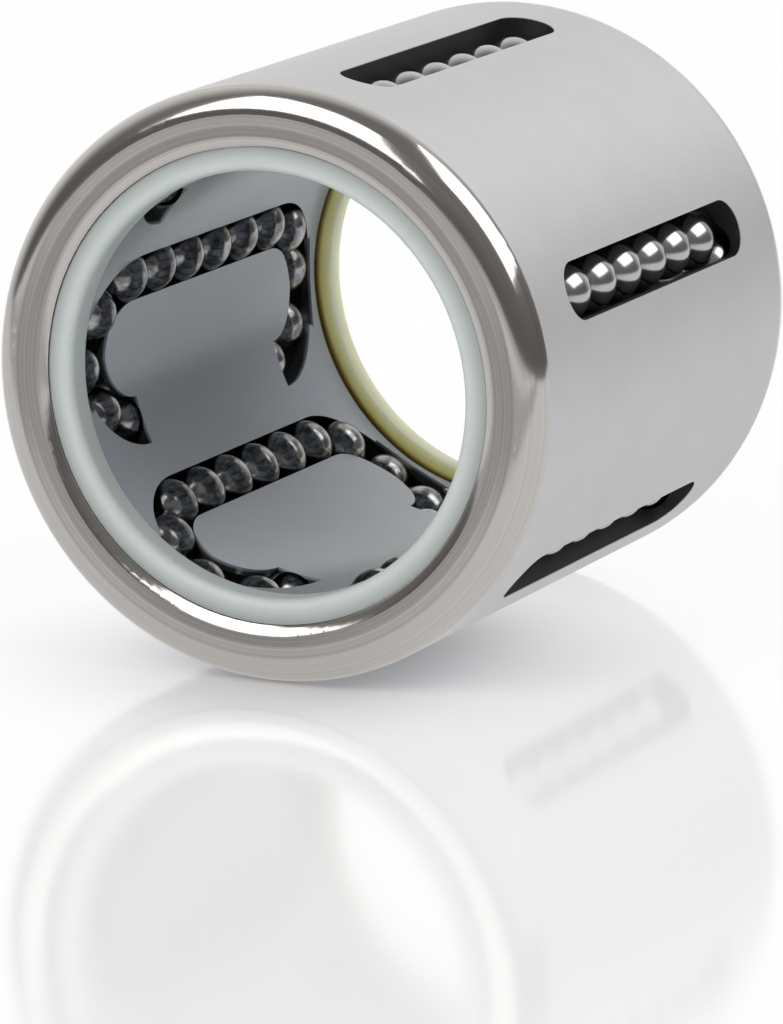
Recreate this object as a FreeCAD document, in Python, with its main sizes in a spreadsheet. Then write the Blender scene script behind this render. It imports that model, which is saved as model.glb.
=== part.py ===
# Linear ball bearing: a slotted steel sleeve, a moulded ball cage, two lip seals and six closed
# circuits of balls. The bearing stands on its rear end with its axis on +Z, and the origin is the
# middle of the rear end face. The first return slot lies on +X.
import FreeCAD, Part
import math
import os

import Sketcher
from FreeCAD import Placement, Rotation, Vector

# Driving dimensions, in millimetres and degrees, or plain counts
DIMENSIONS = {
    "shaft_diameter": 20,
    "outer_diameter": 28,
    "bearing_length": 30,
    # sleeve
    "sleeve_wall": 1.2,
    "rim_rounding": 1.3,
    "lip_thickness": 1.05,
    "lip_bevel_diameter": 24.3,
    "lip_edge_diameter": 22.9,
    "lip_edge_depth": 0.086,
    "lip_rounding": 0.8,
    "lip_bore_diameter": 22.4,
    "lip_bore_depth": 0.29,
    "seam_turn": 22.5,
    "slot_width": 2.8,
    "slot_length": 20.4,
    "pocket_clearance": 0.08,
    # ball circuits
    "circuit_count": 6,
    "balls_per_row": 5,
    "balls_per_bend": 2,
    "ball_diameter": 2.778,
    "bend_radius": 3.76,
    "bend_overrun": 22,
    "return_row_radius": 12.1,
    "rest_phase": 0.2,
    # cage
    "cage_diameter": 25.4,
    "cage_bore_diameter": 21.3,
    "cage_length": 26.5,
    "cage_recess_diameter": 22,
    "cage_recess_depth": 0.5,
    "track_clearance": 0.05,
    "window_width": 2.3,
    # seals
    "seal_diameter": 25.56,
    "seal_collar_diameter": 22.36,
    "seal_inset": 0.35,
    "seal_front_fall": 0.05,
    "seal_nose_radius": 0.45,
}


def make_sheet(document):
    """Write the driving dimensions to a sheet, one aliased cell each."""
    sheet = document.addObject("Spreadsheet::Sheet", "dims")
    for row, (alias, size) in enumerate(DIMENSIONS.items(), start=1):
        sheet.set(f"A{row}", alias)
        sheet.set(f"B{row}", str(size))
        sheet.setAlias(f"B{row}", alias)
    document.recompute()
    return sheet


def sized(expression):
    """Work out an expression of the sheet's cells as a plain number."""
    return float(dims.evalExpression(expression))


def new_body(name):
    body = doc.addObject("PartDesign::Body", name)
    body.Label = name
    return body


def origin_feature(body, role):
    return next(feature for feature in body.Origin.OriginFeatures if feature.Role == role)


def new_sketch(body, name, plane, offset=None):
    """Add a sketch on one of the body's origin planes, turned and moved by the offset."""
    sketch = body.newObject("Sketcher::SketchObject", name)
    sketch.AttachmentSupport = [(origin_feature(body, plane), "")]
    sketch.MapMode = "FlatFace"
    if offset:
        sketch.AttachmentOffset = offset
    return sketch


def bind(sketch, constraint, expression):
    """Add a dimension whose value follows an expression of the sheet."""
    index = sketch.addConstraint(Sketcher.Constraint(*constraint, sized(expression)))
    sketch.setExpression(f"Constraints[{index}]", expression)


def pin_point(sketch, edge, end, across, along):
    """Hold one end of an edge at two distances from the sketch's origin."""
    bind(sketch, ("DistanceX", -1, 1, edge, end), across)
    if along == "0":
        sketch.addConstraint(Sketcher.Constraint("PointOnObject", edge, end, -1))
    else:
        bind(sketch, ("DistanceY", -1, 1, edge, end), along)


def pin_polygon(sketch, corners):
    """Draw a closed outline of straight edges with every corner held by the sheet."""
    points = [Vector(sized(across), sized(along), 0) for across, along in corners]
    for start, stop in zip(points, points[1:] + points[:1]):
        sketch.addGeometry(Part.LineSegment(start, stop))
    for edge, (across, along) in enumerate(corners):
        following = (edge + 1) % len(corners)
        sketch.addConstraint(Sketcher.Constraint("Coincident", edge, 2, following, 1))
        pin_point(sketch, edge, 1, across, along)


def revolve(body, sketch, name):
    """Turn a sketch of the half section all the way round the bearing's axis."""
    feature = body.newObject("PartDesign::Revolution", name)
    feature.Profile = sketch
    feature.ReferenceAxis = (sketch, ["V_Axis"])
    feature.Angle = 360
    doc.recompute()
    return feature


# how near a circle's radius lies to the wanted one to be picked
EDGE_TOLERANCE = 0.01


def round_edges(body, base, name, radius, rounding):
    """Round the circles of one radius, at both ends."""
    names = []
    for number, edge in enumerate(base.Shape.Edges, start=1):
        if not isinstance(edge.Curve, Part.Circle):
            continue
        if abs(edge.Curve.Radius - sized(radius)) < EDGE_TOLERANCE:
            names.append(f"Edge{number}")
    feature = body.newObject("PartDesign::Fillet", name)
    feature.Base = (base, names)
    feature.Radius = sized(rounding)
    feature.setExpression("Radius", rounding)
    doc.recompute()
    return feature


def cut_straight(body, sketch, name, length, backwards):
    """Pocket a track's section along the bearing's axis."""
    feature = body.newObject("PartDesign::Pocket", name)
    feature.Profile = sketch
    feature.Length = sized(length)
    feature.setExpression("Length", length)
    feature.Reversed = backwards
    return feature


def cut_bend(body, sketch, name, backwards):
    """Groove a track's section round a quarter bend, a little past the middle of the turn."""
    feature = body.newObject("PartDesign::Groove", name)
    feature.Profile = sketch
    feature.ReferenceAxis = (sketch, ["V_Axis"])
    feature.Angle = 90 + sized("dims.bend_overrun")
    feature.setExpression("Angle", "90 + dims.bend_overrun")
    feature.Reversed = backwards
    return feature


def repeat_round(body, features, name):
    """Repeat one circuit's cuts round the axis, once for each circuit."""
    pattern = body.newObject("PartDesign::PolarPattern", name)
    pattern.Originals = features
    pattern.Axis = (origin_feature(body, "Z_Axis"), [""])
    pattern.Angle = 360
    pattern.Occurrences = int(sized("dims.circuit_count"))
    pattern.setExpression("Occurrences", "dims.circuit_count")
    body.Tip = pattern
    doc.recompute()


# Ball circuits. Each runs up the load row, round the front turn, down the return row and round the
# rear turn. A turn is two quarter bends about one centre: the first lies square to the radius
# of the load row, so its balls never come nearer the shaft than that row, and the second is tilted
# to land on the return row. One pitch of travel carries every ball to where the next one was.
LOAD_ROW_RADIUS = "(dims.shaft_diameter + dims.ball_diameter) / 2"
RETURN_BEND_OFFSET = (
    f"(dims.return_row_radius^2 - ({LOAD_ROW_RADIUS})^2 - 2 * dims.bend_radius^2) / (2 * dims.bend_radius)"
)
RETURN_BEND_HEIGHT = (
    f"sqrt(dims.return_row_radius^2 - ({RETURN_BEND_OFFSET} + dims.bend_radius)^2)"
)
STRAIGHT_RUN = "dims.balls_per_row * pi / 2 * dims.bend_radius / dims.balls_per_bend"


class Circuit:
    """Directions and centres of the circuit whose return row lies on +X."""

    def __init__(self):
        self.load_radius = sized(LOAD_ROW_RADIUS)
        self.bend_radius = sized("dims.bend_radius")
        self.return_height = sized(RETURN_BEND_HEIGHT)
        self.return_offset = sized(RETURN_BEND_OFFSET)
        self.pitch = math.pi / 2 * self.bend_radius / sized("dims.balls_per_bend")
        self.front_z = sized("dims.bearing_length") / 2 + sized(STRAIGHT_RUN) / 2
        self.rear_z = sized("dims.bearing_length") / 2 - sized(STRAIGHT_RUN) / 2
        self.return_tilt = -math.atan2(self.return_offset + self.bend_radius, self.return_height)
        centre_angle = self.return_tilt + math.atan2(self.return_offset, self.return_height)
        self.load_angle = centre_angle - math.atan2(self.bend_radius, self.load_radius)

    def load_plane(self, height):
        """Frame of a load bend: X from the turn's centre to the load row, Y outwards."""
        outward = Vector(math.cos(self.load_angle), math.sin(self.load_angle), 0)
        towards_row = Vector(outward.y, -outward.x, 0)
        foot = towards_row * -self.bend_radius
        return plane_frame(foot + Vector(0, 0, height), towards_row, outward)

    def return_plane(self, height):
        """Frame of a return bend: X from the turn's centre to the return row, Y outwards."""
        outward = Vector(math.cos(self.return_tilt), math.sin(self.return_tilt), 0)
        towards_row = Vector(-outward.y, outward.x, 0)
        foot = towards_row * self.return_offset
        return plane_frame(foot + Vector(0, 0, height), towards_row, outward)


def plane_frame(origin, across, up):
    return Placement(origin, Rotation(across, up, across.cross(up), "XYZ"))


def draw_pocket_section(sketch, height):
    """Round section that a ball sweeps, with its clearance, in a bend's frame."""
    radius = "dims.ball_diameter / 2 + dims.pocket_clearance"
    centre = Vector(sized("dims.bend_radius"), sized(height), 0)
    sketch.addGeometry(Part.Circle(centre, Vector(0, 0, 1), sized(radius)))
    bind(sketch, ("Radius", 0), radius)
    pin_point(sketch, 0, 3, "dims.bend_radius", height)


# levels that a track's section is cut to, clear of the cage's wall on both sides
OUTSIDE_CAGE = "dims.outer_diameter / 2"
INSIDE_CAGE = "dims.shaft_diameter / 2 - dims.sleeve_wall"


def draw_track_section(sketch, height, with_window):
    """Track open to the outside, round under the ball, with a narrower window to the bore."""
    across = sized("dims.bend_radius")
    up = sized(height)
    radius = sized("dims.ball_diameter / 2 + dims.track_clearance")
    half_window = sized("dims.window_width / 2") if with_window else 0
    top = sized(OUTSIDE_CAGE)
    bottom = sized(INSIDE_CAGE)
    drop = math.sqrt(radius**2 - half_window**2)
    centre = Vector(across, up, 0)
    right_foot = Vector(across + half_window, up - drop, 0)
    left_foot = Vector(across - half_window, up - drop, 0)
    circle = Part.Circle(centre, Vector(0, 0, 1), radius)
    foot_angle = math.acos(half_window / radius)
    right_top = Vector(across + radius, top, 0)
    left_top = Vector(across - radius, top, 0)
    sketch.addGeometry(Part.LineSegment(left_top, right_top))
    sketch.addGeometry(Part.LineSegment(right_top, centre + Vector(radius, 0, 0)))
    sketch.addGeometry(Part.ArcOfCircle(circle, -foot_angle, 0))
    sketch.addGeometry(Part.ArcOfCircle(circle, math.pi, math.pi + foot_angle))
    sketch.addGeometry(Part.LineSegment(centre - Vector(radius, 0, 0), left_top))
    top_edge, right_wall, right_arc, left_arc, left_wall = range(5)
    joins = [
        (top_edge, 2, right_wall, 1),
        (right_wall, 2, right_arc, 2),
        (left_arc, 1, left_wall, 1),
        (left_wall, 2, top_edge, 1),
        (right_arc, 3, left_arc, 3),
    ]
    if with_window:
        down = Vector(0, bottom - right_foot.y, 0)
        sketch.addGeometry(Part.LineSegment(right_foot, right_foot + down))
        sketch.addGeometry(Part.LineSegment(right_foot + down, left_foot + down))
        sketch.addGeometry(Part.LineSegment(left_foot + down, left_foot))
        right_side, floor, left_side = range(5, 8)
        joins += [
            (right_arc, 1, right_side, 1),
            (right_side, 2, floor, 1),
            (floor, 2, left_side, 1),
            (left_side, 2, left_arc, 2),
        ]
    else:
        joins.append((right_arc, 1, left_arc, 2))
    for join in joins:
        sketch.addConstraint(Sketcher.Constraint("Coincident", *join))
    sketch.addConstraint(Sketcher.Constraint("Horizontal", top_edge))
    sketch.addConstraint(Sketcher.Constraint("Vertical", right_wall))
    sketch.addConstraint(Sketcher.Constraint("Vertical", left_wall))
    sketch.addConstraint(Sketcher.Constraint("Horizontal", right_arc, 2, right_arc, 3))
    sketch.addConstraint(Sketcher.Constraint("Horizontal", left_arc, 1, left_arc, 3))
    bind(sketch, ("Radius", right_arc), "dims.ball_diameter / 2 + dims.track_clearance")
    bind(sketch, ("DistanceY", -1, 1, top_edge, 1), OUTSIDE_CAGE)
    pin_point(sketch, right_arc, 3, "dims.bend_radius", height)
    if with_window:
        sketch.addConstraint(Sketcher.Constraint("Vertical", right_side))
        sketch.addConstraint(Sketcher.Constraint("Vertical", left_side))
        sketch.addConstraint(Sketcher.Constraint("Horizontal", floor))
        bind(sketch, ("DistanceY", -1, 1, floor, 1), INSIDE_CAGE)
        bind(sketch, ("DistanceX", right_arc, 3, right_arc, 1), "dims.window_width / 2")
        bind(sketch, ("DistanceX", left_arc, 2, left_arc, 3), "dims.window_width / 2")
    else:
        sketch.addConstraint(Sketcher.Constraint("Vertical", right_arc, 1, right_arc, 3))


# Outer sleeve: hardened steel, its ends turned in to lips, with a slot over each return row and
# shallow pockets inside where the balls cross between the rows
def make_sleeve():
    body = new_body("outer_sleeve")
    outer = "dims.outer_diameter / 2"
    inner = "dims.outer_diameter / 2 - dims.sleeve_wall"
    bevel = "dims.lip_bevel_diameter / 2"
    edge = "dims.lip_edge_diameter / 2"
    lip = "dims.lip_bore_diameter / 2"
    top = "dims.bearing_length"
    under_lip = "dims.bearing_length - dims.lip_thickness"
    over_lip = "dims.lip_thickness"
    # the section is turned off +X, so that the seam of the shell runs clear of the slots
    seam = Placement(Vector(), Rotation(Vector(0, 1, 0), sized("dims.seam_turn")))
    section = new_sketch(body, "sleeve_section", "XZ_Plane", seam)
    pin_polygon(section, [
        (outer, "0"),
        (outer, top),
        (bevel, top),
        (edge, f"{top} - dims.lip_edge_depth"),
        (lip, f"{top} - dims.lip_bore_depth"),
        (lip, under_lip),
        (inner, under_lip),
        (inner, over_lip),
        (lip, over_lip),
        (lip, "dims.lip_bore_depth"),
        (edge, "dims.lip_edge_depth"),
        (bevel, "0"),
    ])
    shell = revolve(body, section, "sleeve_shell")
    rims = round_edges(body, shell, "sleeve_rims", outer, "dims.rim_rounding")
    round_edges(body, rims, "sleeve_lip_edges", edge, "dims.lip_rounding")
    cuts = [cut_slot(body)]
    for side, height, frame, backwards in (
        ("load", LOAD_ROW_RADIUS, circuit.load_plane, True),
        ("return", RETURN_BEND_HEIGHT, circuit.return_plane, False),
    ):
        for end, level in (("front", circuit.front_z), ("rear", circuit.rear_z)):
            sketch = new_sketch(body, f"{end}_{side}_pocket_section", "XY_Plane", frame(level))
            draw_pocket_section(sketch, height)
            turned = backwards == (end == "front")
            cuts.append(cut_bend(body, sketch, f"{end}_{side}_pocket", turned))
    repeat_round(body, cuts, "sleeve_circuits")
    return body


def cut_slot(body):
    """Cut one round-ended return slot through the sleeve's wall on +X."""
    sketch = new_sketch(body, "slot_outline", "YZ_Plane")
    half_width = sized("dims.slot_width / 2")
    middle = sized("dims.bearing_length / 2")
    reach = sized("(dims.slot_length - dims.slot_width) / 2")
    lower = Part.Circle(Vector(0, middle - reach, 0), Vector(0, 0, 1), half_width)
    upper = Part.Circle(Vector(0, middle + reach, 0), Vector(0, 0, 1), half_width)
    across = Vector(half_width, 0, 0)
    sketch.addGeometry(Part.ArcOfCircle(lower, math.pi, 2 * math.pi))
    sketch.addGeometry(Part.LineSegment(lower.Center + across, upper.Center + across))
    sketch.addGeometry(Part.ArcOfCircle(upper, 0, math.pi))
    sketch.addGeometry(Part.LineSegment(upper.Center - across, lower.Center - across))
    lower_end, right_side, upper_end, left_side = range(4)
    for join in (
        (lower_end, 2, right_side, 1),
        (right_side, 2, upper_end, 1),
        (upper_end, 2, left_side, 1),
        (left_side, 2, lower_end, 1),
    ):
        sketch.addConstraint(Sketcher.Constraint("Tangent", *join))
    sketch.addConstraint(Sketcher.Constraint("PointOnObject", lower_end, 3, -2))
    sketch.addConstraint(Sketcher.Constraint("PointOnObject", upper_end, 3, -2))
    bind(sketch, ("Radius", lower_end), "dims.slot_width / 2")
    low = "(dims.bearing_length - dims.slot_length + dims.slot_width) / 2"
    bind(sketch, ("DistanceY", -1, 1, lower_end, 3), low)
    bind(sketch, ("DistanceY", lower_end, 3, upper_end, 3), "dims.slot_length - dims.slot_width")
    return cut_straight(body, sketch, "return_slot", "dims.outer_diameter", True)


# Ball cage: one dark plastic moulding that guides the balls round six closed tracks. Windows
# along the load rows and the turns let the balls reach the shaft, and a web closes the return rows.
def make_cage():
    body = new_body("ball_cage")
    outer = "dims.cage_diameter / 2"
    bore = "dims.cage_bore_diameter / 2"
    recess = "dims.cage_recess_diameter / 2"
    low = "(dims.bearing_length - dims.cage_length) / 2"
    high = "(dims.bearing_length + dims.cage_length) / 2"
    section = new_sketch(body, "cage_section", "XZ_Plane")
    pin_polygon(section, [
        (outer, low),
        (outer, high),
        (recess, high),
        (recess, f"{high} - dims.cage_recess_depth"),
        (bore, f"{high} - dims.cage_recess_depth"),
        (bore, f"{low} + dims.cage_recess_depth"),
        (recess, f"{low} + dims.cage_recess_depth"),
        (recess, low),
    ])
    revolve(body, section, "cage_tube")
    cuts = []
    for side, height, frame, backwards in (
        ("load", LOAD_ROW_RADIUS, circuit.load_plane, True),
        ("return", RETURN_BEND_HEIGHT, circuit.return_plane, False),
    ):
        for end, level in (("front", circuit.front_z), ("rear", circuit.rear_z)):
            sketch = new_sketch(body, f"{end}_{side}_track", "XY_Plane", frame(level))
            draw_track_section(sketch, height, with_window=True)
            turned = backwards == (end == "front")
            cuts.append(cut_bend(body, sketch, f"{end}_{side}_bend", turned))
            if (side, end) == ("load", "front"):
                cuts.append(cut_straight(body, sketch, "load_track", STRAIGHT_RUN, False))
    web = new_sketch(body, "return_track_section", "XY_Plane", circuit.return_plane(circuit.rear_z))
    draw_track_section(web, RETURN_BEND_HEIGHT, with_window=False)
    cuts.append(cut_straight(body, web, "return_track", STRAIGHT_RUN, False))
    repeat_round(body, cuts, "cage_circuits")
    return body


# Lip seals: pale moulded rings held between the sleeve's lips and the cage. A collar fills each
# lip's bore, and behind its round nose a short land wipes the shaft.
def make_seal(name, is_front):
    body = new_body(name)
    land = "dims.shaft_diameter / 2"
    rim = "dims.seal_diameter / 2"
    cage_end = "(dims.bearing_length + dims.cage_length) / 2"
    flange_top = "dims.bearing_length - dims.lip_thickness"
    collar = "dims.seal_collar_diameter / 2"
    front = "dims.bearing_length - dims.seal_inset"
    nose = "dims.seal_nose_radius"
    sketch = new_sketch(body, f"{name}_section", "XZ_Plane")
    corners = [
        (land, f"{front} - {nose}"),
        (land, cage_end),
        (rim, cage_end),
        (rim, flange_top),
        (collar, flange_top),
        (collar, f"{front} - dims.seal_front_fall"),
        (f"{land} + {nose}", front),
    ]
    points = [Vector(sized(across), sized(along), 0) for across, along in corners]
    for start, stop in zip(points, points[1:]):
        sketch.addGeometry(Part.LineSegment(start, stop))
    centre = Vector(points[-1].x, points[0].y, 0)
    circle = Part.Circle(centre, Vector(0, 0, 1), sized(nose))
    sketch.addGeometry(Part.ArcOfCircle(circle, math.pi / 2, math.pi))
    arc = len(corners) - 1
    for edge in range(arc):
        sketch.addConstraint(Sketcher.Constraint("Coincident", edge, 2, edge + 1, 1))
    sketch.addConstraint(Sketcher.Constraint("Coincident", arc, 2, 0, 1))
    for edge, corner in enumerate(corners):
        pin_point(sketch, edge, 1, *corner)
    bind(sketch, ("Radius", arc), nose)
    revolve(body, sketch, f"{name}_ring")
    if not is_front:
        turned_over = Rotation(Vector(1, 0, 0), 180)
        body.Placement = Placement(Vector(0, 0, sized("dims.bearing_length")), turned_over)
        body.setExpression("Placement.Base.z", "dims.bearing_length")
    return body


def ball_group(name, frame, places):
    """Make one rigid group of balls, each at a place given in the group's frame."""
    balls = []
    for number, place in enumerate(places, start=1):
        ball = doc.addObject("Part::Sphere", f"{name}_ball_{number}")
        ball.Radius = sized("dims.ball_diameter / 2")
        ball.setExpression("Radius", "dims.ball_diameter / 2")
        ball.Placement = Placement(frame.multVec(place), Rotation())
        balls.append(ball)
    group = doc.addObject("Part::Compound", name)
    group.Label = name
    group.Links = balls
    return group


def make_circuit_balls(number):
    """Make the six ball groups of one circuit at the rest phase."""
    turn = Placement(Vector(), Rotation(Vector(0, 0, 1), 360 / sized("dims.circuit_count") * (number - 1)))
    phase = sized("dims.rest_phase")
    row_count = int(sized("dims.balls_per_row"))
    bend_count = int(sized("dims.balls_per_bend"))
    bend_radius = circuit.bend_radius
    row_steps = [(phase + count) * circuit.pitch for count in range(row_count)]
    bend_angles = [(phase + count) * math.pi / 2 / bend_count for count in range(bend_count)]
    load_height = circuit.load_radius
    return_height = circuit.return_height
    # in a bend's frame X points to the row and Z along the axis, up for load and down for return
    leaving = [(bend_radius * math.cos(angle), bend_radius * math.sin(angle)) for angle in bend_angles]
    arriving = [(bend_radius * math.sin(angle), bend_radius * math.cos(angle)) for angle in bend_angles]
    groups = {
        "load_row": (
            circuit.load_plane(circuit.rear_z),
            [Vector(bend_radius, load_height, step) for step in row_steps],
        ),
        "front_turn_load_side": (
            circuit.load_plane(circuit.front_z),
            [Vector(across, load_height, along) for across, along in leaving],
        ),
        "front_turn_return_side": (
            circuit.return_plane(circuit.front_z),
            [Vector(across, return_height, -along) for across, along in arriving],
        ),
        "return_row": (
            circuit.return_plane(circuit.front_z),
            [Vector(bend_radius, return_height, step) for step in row_steps],
        ),
        "rear_turn_return_side": (
            circuit.return_plane(circuit.rear_z),
            [Vector(across, return_height, along) for across, along in leaving],
        ),
        "rear_turn_load_side": (
            circuit.load_plane(circuit.rear_z),
            [Vector(across, load_height, -along) for across, along in arriving],
        ),
    }
    return [
        ball_group(f"circuit_{number}_{name}", turn.multiply(frame), places)
        for name, (frame, places) in groups.items()
    ]


doc = FreeCAD.newDocument("linear_ball_bearing")
dims = make_sheet(doc)
circuit = Circuit()
parts = [
    make_sleeve(),
    make_cage(),
    make_seal("front_seal", is_front=True),
    make_seal("rear_seal", is_front=False),
]
for circuit_number in range(1, int(sized("dims.circuit_count")) + 1):
    parts += make_circuit_balls(circuit_number)
doc.recompute()

failed = [item.Name for item in doc.Objects if {"Invalid", "Error"} & set(item.State)]
if failed:
    raise RuntimeError(f"not rebuilt: {failed}")
for part in parts:
    if part.Shape.isNull() or not part.Shape.isValid():
        raise RuntimeError(f"bad shape: {part.Label}")

os.makedirs("parts", exist_ok=True)
for part in parts:
    part.Shape.exportStep(f"parts/{part.Label}.step")
    print(part.Label, f"{part.Shape.Volume:.2f} mm3", len(part.Shape.Solids), "solids")
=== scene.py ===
import math

import bmesh
import bpy
from mathutils import Matrix, Vector

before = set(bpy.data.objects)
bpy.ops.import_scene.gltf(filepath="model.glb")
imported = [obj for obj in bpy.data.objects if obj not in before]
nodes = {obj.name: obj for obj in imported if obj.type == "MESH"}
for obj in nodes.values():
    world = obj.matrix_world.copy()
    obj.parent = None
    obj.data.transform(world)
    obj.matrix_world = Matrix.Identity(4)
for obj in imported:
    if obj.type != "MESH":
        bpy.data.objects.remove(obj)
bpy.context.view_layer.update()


# Outer sleeve. A thin hardened steel tube with both ends rolled in to lips and six long slots.
# It is hardened in a furnace, which leaves the slot walls and the inside dark, then the outside is
# centreless ground to a satin grey and the rims are turned and polished.
class Wire:
    """A socket in a material's node tree. Arithmetic on wires adds Math nodes to the tree."""

    def __init__(self, tree, socket=None):
        self.tree = tree
        self.socket = socket

    def node(self, kind, settings=None, sockets=None, output=0):
        """Add a node: its settings are set first, then the values or links of its sockets."""
        made = self.tree.nodes.new(kind)
        for name, setting in (settings or {}).items():
            setattr(made, name, setting)
        for name, given in (sockets or {}).items():
            if isinstance(given, Wire):
                self.tree.links.new(given.socket, made.inputs[name])
            else:
                made.inputs[name].default_value = given
        return Wire(self.tree, made.outputs[output] if made.outputs else None)

    def maths(self, operation, *terms):
        return self.node("ShaderNodeMath", {"operation": operation}, dict(enumerate(terms)))

    def __add__(self, other):
        return self.maths("ADD", self, other)

    def __radd__(self, other):
        return self.maths("ADD", other, self)

    def __sub__(self, other):
        return self.maths("SUBTRACT", self, other)

    def __rsub__(self, other):
        return self.maths("SUBTRACT", other, self)

    def __mul__(self, other):
        return self.maths("MULTIPLY", self, other)

    def __rmul__(self, other):
        return self.maths("MULTIPLY", other, self)

    def __pow__(self, other):
        return self.maths("POWER", self, other)

    def __abs__(self):
        return self.maths("ABSOLUTE", self)

    def part(self, axis):
        """One part of a vector, by the letter of its axis."""
        return self.node("ShaderNodeSeparateXYZ", {}, {"Vector": self}, axis)

    def ramp(self, low, high):
        """Nought below low and one above high, smooth between them; low may be the larger."""
        return self.node(
            "ShaderNodeMapRange",
            {"interpolation_type": "SMOOTHSTEP"},
            {"Value": self, "From Min": low, "From Max": high},
        )

    def mix(self, first, second):
        """A colour that goes from the first to the second as this wire goes from nought to one."""
        return self.node(
            "ShaderNodeMix",
            {"data_type": "RGBA"},
            {"Factor": self, 6: first, 7: second},
            output=2,
        )

    def noise(self, place, scale, detail=2.0, roughness=0.5):
        """Cloudy noise from nought to one, at a number of lumps to each unit of place."""
        return self.node(
            "ShaderNodeTexNoise",
            {"noise_dimensions": "3D"},
            {"Vector": place, "Scale": scale, "Detail": detail, "Roughness": roughness},
        )

    def stretch(self, place, scale):
        """Place with each axis scaled, for a pattern that is longer one way."""
        return self.node("ShaderNodeMapping", {}, {"Vector": place, "Scale": scale})


LENGTH = 30.0
OUTER_RADIUS = 14.0
MILLIMETRES = (1000.0, 1000.0, 1000.0)


def new_finish(name):
    """A material with an empty tree, and a wire to start from."""
    material = bpy.data.materials.new(name)
    material.use_nodes = True
    material.node_tree.nodes.clear()
    return material, Wire(material.node_tree)


def place_in_millimetres(start):
    return start.stretch(start.node("ShaderNodeTexCoord", output="Object"), MILLIMETRES)


def from_axis(place):
    """How far a place is from the bearing's axis."""
    across = place.part("X")
    along = place.part("Y")
    return (across * across + along * along) ** 0.5


def from_middle(place):
    """How far a place is, along the axis, from the middle of the bearing's length."""
    return abs(place.part("Z") - LENGTH / 2)


def close_finish(start, sockets, bump=None):
    """Join the shader's sockets to the material's output, with a bump of (height, strength, depth)."""
    if bump:
        relief, strength, depth = bump
        sockets["Normal"] = start.node(
            "ShaderNodeBump", {}, {"Height": relief, "Strength": strength, "Distance": depth}
        )
    shader = start.node("ShaderNodeBsdfPrincipled", {}, sockets)
    start.node("ShaderNodeOutputMaterial", {"is_active_output": True}, {"Surface": shader})


def dress(node_name, material):
    """Give a CAD node its finish."""
    mesh = nodes[node_name].data
    mesh.materials.clear()
    mesh.materials.append(material)


RIM_ROUNDING = 1.3
RIM_START = LENGTH / 2 - RIM_ROUNDING
RIM_BLEND = 0.05
FLAT_EDGE = OUTER_RADIUS - RIM_ROUNDING
FLAT_EDGE_BLEND = 0.1
GROUND_SKIN = (OUTER_RADIUS - 0.05, OUTER_RADIUS - 0.02)
END_FACE = (LENGTH / 2 - 0.12, LENGTH / 2 - 0.05)
SATIN_STEEL = (0.675, 0.673, 0.675, 1.0)
SATIN_STEEL_DULL = (0.55, 0.548, 0.55, 1.0)
RIM_STEEL = (0.53, 0.505, 0.48, 1.0)
RIM_STEEL_DULL = (0.47, 0.447, 0.425, 1.0)
FACE_STEEL = (0.45, 0.425, 0.40, 1.0)
FACE_STEEL_DULL = (0.34, 0.322, 0.302, 1.0)
FURNACE_STEEL = (0.075, 0.073, 0.071, 1.0)
GRINDING_MARKS = (0.5, 0.5, 22.0)
MARKS_SHARE = 0.6
CLOUDS_PER_MM = 0.35
CLOUDS_SHARE = 0.4
RINGS_PER_MM = 9.0
RING_STREAKS = (0.3, 0.7)
GROUND_ROUGHNESS = 0.50
MARKS_ROUGHNESS = 0.08
RIM_POLISH = 0.42
FACE_ROUGHNESS = 0.03
SLOT_ROUGHNESS = 0.05
RINGS_RELIEF = 0.4
STEEL_BUMP = 0.05
FINE_RELIEF = 0.00002


def sleeve_finish():
    material, start = new_finish("sleeve_steel_finish")
    place = place_in_millimetres(start)
    radius = from_axis(place)
    off_middle = from_middle(place)
    on_rim = off_middle.ramp(RIM_START - RIM_BLEND, RIM_START + RIM_BLEND)
    outside = radius.ramp(*GROUND_SKIN)
    in_slot = (1 - on_rim) * (1 - outside)
    # grinding marks run round the sleeve, so the noise is drawn out that way
    drawn_out = start.stretch(place, GRINDING_MARKS)
    marks = start.noise(drawn_out, 1.0, detail=3.0, roughness=0.6)
    clouds = start.noise(place, CLOUDS_PER_MM, detail=3.0)
    satin = (marks * MARKS_SHARE + clouds * CLOUDS_SHARE).mix(SATIN_STEEL_DULL, SATIN_STEEL)
    # turning marks are rings, so the noise reads only the distance from the axis and the height
    profile = start.node("ShaderNodeCombineXYZ", {}, {"X": radius, "Y": place.part("Z")})
    rings = start.noise(profile, RINGS_PER_MM, detail=4.0, roughness=0.65)
    streaks = rings.ramp(*RING_STREAKS)
    on_face = off_middle.ramp(*END_FACE) * radius.ramp(FLAT_EDGE + FLAT_EDGE_BLEND, FLAT_EDGE)
    rim = streaks.mix(RIM_STEEL_DULL, RIM_STEEL)
    face = streaks.mix(FACE_STEEL_DULL, FACE_STEEL)
    turned = on_face.mix(rim, face)
    steel = on_rim.mix(satin, turned)
    roughness = GROUND_ROUGHNESS + marks * MARKS_ROUGHNESS - on_rim * RIM_POLISH
    roughness = roughness + on_face * FACE_ROUGHNESS + in_slot * SLOT_ROUGHNESS
    relief = marks * (1 - on_rim) + rings * on_rim * RINGS_RELIEF
    close_finish(
        start,
        {
            "Base Color": in_slot.mix(steel, FURNACE_STEEL),
            "Metallic": 1.0,
            "Roughness": roughness,
        },
        bump=(relief, STEEL_BUMP, FINE_RELIEF),
    )
    return material


dress("outer_sleeve", sleeve_finish())


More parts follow.
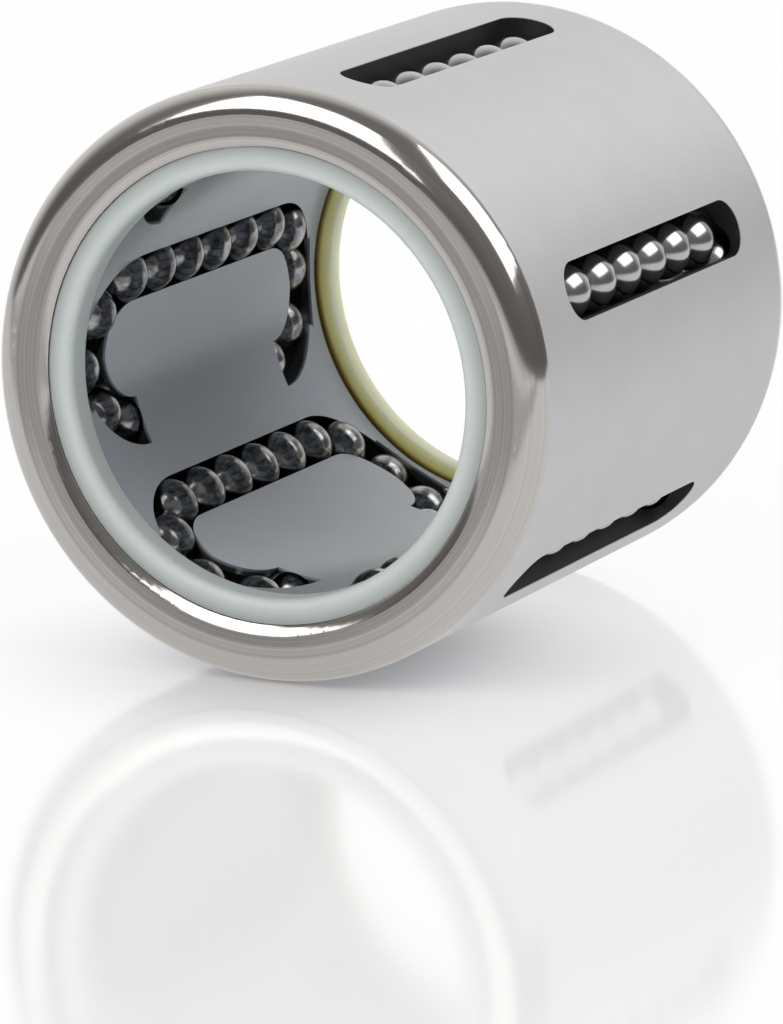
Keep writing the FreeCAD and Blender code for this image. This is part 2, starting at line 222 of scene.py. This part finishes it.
# Ball cage. One dark plastic moulding inside the sleeve that leads the balls round six closed
# tracks. Its bore is smooth from the mould's core, with a faint grain and a half gloss.
CAGE_PLASTIC = (0.34, 0.375, 0.425, 1.0)
CAGE_PLASTIC_PALE = (0.40, 0.435, 0.485, 1.0)
TRACK_PAINTED_SHADE = (0.035, 0.036, 0.038, 1.0)
BORE_RADIUS = 10.65
TRACK_START = (BORE_RADIUS + 0.04, BORE_RADIUS + 0.2)
MOULD_FLOW = (1.0, 1.0, 0.3)
FLOW_PER_MM = 0.5
CAGE_GRAIN_PER_MM = 14.0
CAGE_ROUGHNESS = 0.2
CAGE_GRAIN_ROUGHNESS = 0.08
CAGE_BUMP = 0.06


def cage_finish():
    material, start = new_finish("cage_plastic_finish")
    place = place_in_millimetres(start)
    flow = start.noise(start.stretch(place, MOULD_FLOW), FLOW_PER_MM, detail=3.0)
    grain = start.noise(place, CAGE_GRAIN_PER_MM)
    # the tracks behind the bore are painted nearly black, as painted shade in these recesses
    track_shade = from_axis(place).ramp(*TRACK_START)
    bore = flow.mix(CAGE_PLASTIC, CAGE_PLASTIC_PALE)
    close_finish(
        start,
        {
            "Base Color": track_shade.mix(bore, TRACK_PAINTED_SHADE),
            "Roughness": CAGE_ROUGHNESS + grain * CAGE_GRAIN_ROUGHNESS,
            "Specular IOR Level": 1.0,
        },
        bump=(grain, CAGE_BUMP, FINE_RELIEF),
    )
    return material


dress("ball_cage", cage_finish())


# Lip seals. Pale moulded rings, one behind each lip, with a round nose and a land that wipes the
# shaft. The plastic lets a little light through, and the rear one is painted amber on its inner side,
# as painted light for the light that shines through it.
SEAL_MINT = (0.60, 0.655, 0.63, 1.0)
SEAL_MINT_PALE = (0.67, 0.71, 0.68, 1.0)
SEAL_SHADE = (0.42, 0.455, 0.44, 1.0)
PAINTED_BACKLIGHT_AMBER = (1.0, 0.93, 0.57, 1.0)
SEAL_RECESS_SHADE = (0.30, 0.24, 0.12, 1.0)
PAINTED_SHADE_FACE = (10.3, 11.2)
NOSE_START = (14.2, 14.5)
RECESS_SHADE_EDGE = (10.45, 10.8)
SEAL_CLOUDS_PER_MM = 0.6
SEAL_GRAIN_PER_MM = 18.0
SEAL_ROUGHNESS = 0.38
SEAL_GRAIN_ROUGHNESS = 0.1
SEAL_BUMP = 0.05
LIGHT_REACH = (0.003, 0.0028, 0.0016)
FRONT_SEE_THROUGH = 0.15
REAR_SEE_THROUGH = 1.0


def seal_finish(name, inner_colour, see_through):
    material, start = new_finish(name)
    place = place_in_millimetres(start)
    radius = from_axis(place)
    clouds = start.noise(place, SEAL_CLOUDS_PER_MM, detail=3.0)
    grain = start.noise(place, SEAL_GRAIN_PER_MM)
    # painted shade darkens the outer part of the face, next to the lip
    open_face = clouds.mix(SEAL_MINT, SEAL_MINT_PALE)
    shaded_mint = radius.ramp(*PAINTED_SHADE_FACE).mix(open_face, SEAL_SHADE)
    at_nose = from_middle(place).ramp(*NOSE_START)
    # a brown band at the outer edge of the inner side is painted shadow from the recess behind the
    # cage's bore
    inside = radius.ramp(*RECESS_SHADE_EDGE).mix(inner_colour, SEAL_RECESS_SHADE)
    close_finish(
        start,
        {
            "Base Color": at_nose.mix(inside, shaded_mint),
            "Roughness": SEAL_ROUGHNESS + grain * SEAL_GRAIN_ROUGHNESS,
            "Subsurface Weight": see_through,
            "Subsurface Radius": LIGHT_REACH,
            "Subsurface Scale": 1.0,
        },
        bump=(grain, SEAL_BUMP, FINE_RELIEF),
    )
    return material


dress("front_seal", seal_finish("front_seal_finish", SEAL_MINT, FRONT_SEE_THROUGH))
# the rear seal's inner side is painted amber, as painted light for the light shining through it
dress("rear_seal", seal_finish("rear_seal_finish", PAINTED_BACKLIGHT_AMBER, REAR_SEE_THROUGH))


# Balls. Hardened bearing steel, lapped to a mirror and loose in their tracks. Towards the axis they
# are painted darker in streaks, as painted shade for the dark inside of the bearing that they mirror.
BALL_STEEL = (0.52, 0.52, 0.525, 1.0)
BALL_STEEL_DULL = (0.40, 0.40, 0.405, 1.0)
SHADED_BALL_STEEL = (0.36, 0.36, 0.365, 1.0)
SHADED_BALL_STEEL_DULL = (0.12, 0.12, 0.122, 1.0)
PAINTED_SHADE_SIDE = (12.2, 11.4)
SMEARS_PER_MM = 1.6
SHADE_STREAKS = (0.35, 0.65)
BALL_ROUGHNESS = 0.12
SMEARS_ROUGHNESS = 0.12


def ball_finish():
    material, start = new_finish("ball_steel_finish")
    place = place_in_millimetres(start)
    smears = start.noise(place, SMEARS_PER_MM, detail=3.0, roughness=0.6)
    # painted shade: the steel is darker in streaks towards the axis
    ball_shade = from_axis(place).ramp(*PAINTED_SHADE_SIDE)
    lapped = smears.mix(BALL_STEEL_DULL, BALL_STEEL)
    shaded_ball = smears.ramp(*SHADE_STREAKS).mix(SHADED_BALL_STEEL_DULL, SHADED_BALL_STEEL)
    close_finish(
        start,
        {
            "Base Color": ball_shade.mix(lapped, shaded_ball),
            "Metallic": 1.0,
            "Roughness": BALL_ROUGHNESS + smears * SMEARS_ROUGHNESS,
        },
    )
    return material


BALL_FINISH = ball_finish()
for ball_node in sorted(name for name in nodes if name.startswith("circuit_")):
    dress(ball_node, BALL_FINISH)


# Table and camera. The bearing lies on its side on a white glossy table, so the table is the plane
# that touches the sleeve on one side, and the camera stands level on that table.
TABLE_AZIMUTH = math.radians(70.8)
CAMERA_PLACE = Vector((-0.15699, -0.01561, 0.32140))
CAMERA_AIM = Vector((0.00232, 0.00808, 0.01687))
CAMERA_FOCUS_PIXELS = 7219
IMAGE_HEIGHT = 1024
SENSOR = 36.0

towards_table = Vector((math.cos(TABLE_AZIMUTH), math.sin(TABLE_AZIMUTH), 0))
table_up = -towards_table
look = (CAMERA_AIM - CAMERA_PLACE).normalized()
to_right = look.cross(table_up).normalized()
away = table_up.cross(to_right)

camera_data = bpy.data.cameras.new("photo_camera")
camera_data.lens = CAMERA_FOCUS_PIXELS / IMAGE_HEIGHT * SENSOR
camera_data.sensor_width = SENSOR
camera_data.clip_start = 0.01
camera_data.clip_end = 10.0
camera = bpy.data.objects.new("photo_camera", camera_data)
bpy.context.scene.collection.objects.link(camera)
camera_up = to_right.cross(look)
camera_turn = Matrix((to_right, camera_up, -look)).transposed().to_4x4()
camera.matrix_world = Matrix.Translation(CAMERA_PLACE) @ camera_turn
bpy.context.scene.camera = camera

TABLE_SIZE = (0.6, 1.0)
TABLE_MATT = (0.90, 0.912, 0.935, 1.0)
TABLE_SHADE = (0.2, 0.197, 0.193, 1.0)
WHITE = (1.0, 1.0, 1.0, 1.0)
TABLE_ROUGHNESS = 0.1
TABLE_REFRACTION = 1.45
CONTACT_FORWARD = 0.0095
SHADOW_FADE = (0.004, 0.018)
SEEN_WHITE = 0.87
LIT_FRONT = (0.06, 0.015)
LIT_FRONT_WHITE = 0.4
MIRRORED_WHITE = 0.2
SHADE_START = (0.06, 0.085)
SHADE_END = (0.13, 0.11)
FAR_EDGE = (0.15, 0.25)
SHADE_SHARE = 0.45

half_way_up = Vector((0, 0, LENGTH / 2000))
middle = towards_table * (OUTER_RADIUS / 1000) + half_way_up
contact = middle + Vector((0, 0, CONTACT_FORWARD))


def table_finish():
    """White gloss seen only from above, paler to the camera away from the bearing."""
    material, start = new_finish("table_white")
    place = start.node("ShaderNodeTexCoord", output="Object")
    from_contact = start.node(
        "ShaderNodeVectorMath", {"operation": "DISTANCE"}, {0: place, 1: contact}, output="Value"
    )
    seen = start.node("ShaderNodeLightPath", output="Is Camera Ray")
    mirrored = start.node("ShaderNodeLightPath", output="Is Glossy Ray")
    matt = start.node("ShaderNodeBsdfDiffuse", {}, {"Color": TABLE_MATT})
    bright = start.node("ShaderNodeEmission", {}, {"Color": WHITE, "Strength": 1.0})
    clear_of_bearing = from_contact.ramp(*SHADOW_FADE)
    in_mirror = from_contact.ramp(*LIT_FRONT) * LIT_FRONT_WHITE + MIRRORED_WHITE
    fading = clear_of_bearing * seen * SEEN_WHITE + mirrored * in_mirror
    white = start.node("ShaderNodeMixShader", {}, {"Fac": fading, 1: matt, 2: bright})
    # the front end mirrors a band of shade across the table, and shade again at its far edge
    ahead = place.part("Z")
    band = ahead.ramp(*SHADE_START) * ahead.ramp(*SHADE_END) + ahead.ramp(*FAR_EDGE)
    dim = mirrored * band * SHADE_SHARE
    shade = start.node("ShaderNodeEmission", {}, {"Color": TABLE_SHADE, "Strength": 1.0})
    white = start.node("ShaderNodeMixShader", {}, {"Fac": dim, 1: white, 2: shade})
    gloss = start.node("ShaderNodeBsdfGlossy", {}, {"Color": WHITE, "Roughness": TABLE_ROUGHNESS})
    grazing = start.node("ShaderNodeFresnel", {}, {"IOR": TABLE_REFRACTION})
    front = start.node("ShaderNodeMixShader", {}, {"Fac": grazing * seen, 1: white, 2: gloss})
    clear = start.node("ShaderNodeBsdfTransparent")
    from_below = start.node("ShaderNodeNewGeometry", output="Backfacing")
    both = start.node("ShaderNodeMixShader", {}, {"Fac": from_below, 1: front, 2: clear})
    start.node("ShaderNodeOutputMaterial", {"is_active_output": True}, {"Surface": both})
    return material


table_shape = bmesh.new()
bmesh.ops.create_grid(table_shape, x_segments=1, y_segments=1, size=0.5)
bmesh.ops.scale(table_shape, vec=(*TABLE_SIZE, 1), verts=table_shape.verts)
lay = Matrix.Translation(middle) @ Matrix((to_right, away, table_up)).transposed().to_4x4()
bmesh.ops.transform(table_shape, matrix=lay, verts=table_shape.verts)
table_mesh = bpy.data.meshes.new("table")
table_shape.to_mesh(table_mesh)
table_shape.free()
table_mesh.materials.append(table_finish())
table = bpy.data.objects.new("table", table_mesh)
bpy.context.scene.collection.objects.link(table)


# Studio. Two soft boxes, one high on the right and one on the left beside the camera, stand in a
# dim room with a white backdrop behind the table.
def studio_direction(turn, rise):
    """A direction by its turn to the right of straight away and its rise above the table."""
    turn, rise = math.radians(turn), math.radians(rise)
    flat = away * math.cos(turn) + to_right * math.sin(turn)
    return flat * math.cos(rise) + table_up * math.sin(rise)


def soft_box(name, turn, rise, distance, width, height, radiance):
    """A lamp that faces the bearing from a direction, and that the camera doesn't see."""
    light = bpy.data.lights.new(name, "AREA")
    light.shape = "RECTANGLE"
    light.size = width
    light.size_y = height
    light.energy = radiance * math.pi * width * height
    lamp = bpy.data.objects.new(name, light)
    bpy.context.scene.collection.objects.link(lamp)
    out = studio_direction(turn, rise)
    across = table_up.cross(out).normalized()
    lamp.matrix_world = (
        Matrix.Translation(out * distance + half_way_up)
        @ Matrix((across, out.cross(across), out)).transposed().to_4x4()
    )
    lamp.visible_camera = False


soft_box("right_soft_box", turn=99, rise=47, distance=1.2, width=1.35, height=0.86, radiance=2.4)
soft_box("left_soft_box", turn=-132, rise=38, distance=1.2, width=0.78, height=1.07, radiance=2.8)

world = bpy.data.worlds.new("studio")
bpy.context.scene.world = world
world.use_nodes = True
world.node_tree.nodes.clear()
sky = Wire(world.node_tree)
facing = sky.node("ShaderNodeTexCoord", output="Generated")


def towards(direction):
    """How far a ray points the same way as a direction, from minus one to one."""
    return sky.node(
        "ShaderNodeVectorMath",
        {"operation": "DOT_PRODUCT"},
        {0: facing, 1: direction},
        output="Value",
    )


ROOM_LOW = (0.17, 0.166, 0.162, 1.0)
ROOM_HIGH = (0.26, 0.255, 0.25, 1.0)
ROOM_RISE = (0.0, 0.6)
BACKDROP_TURN = -10
BACKDROP_RISE = 12
BACKDROP_EDGE = (0.2, 0.92)
room = towards(table_up).ramp(*ROOM_RISE).mix(ROOM_LOW, ROOM_HIGH)
backdrop = towards(studio_direction(BACKDROP_TURN, BACKDROP_RISE)).ramp(*BACKDROP_EDGE)
room = backdrop.mix(room, WHITE)
to_camera = sky.node("ShaderNodeLightPath", output="Is Camera Ray")
shown = to_camera.mix(room, WHITE)
background = sky.node("ShaderNodeBackground", {}, {"Color": shown, "Strength": 1.0})
sky.node("ShaderNodeOutputWorld", {"is_active_output": True}, {"Surface": background})

bpy.context.scene.view_settings.view_transform = "Standard"
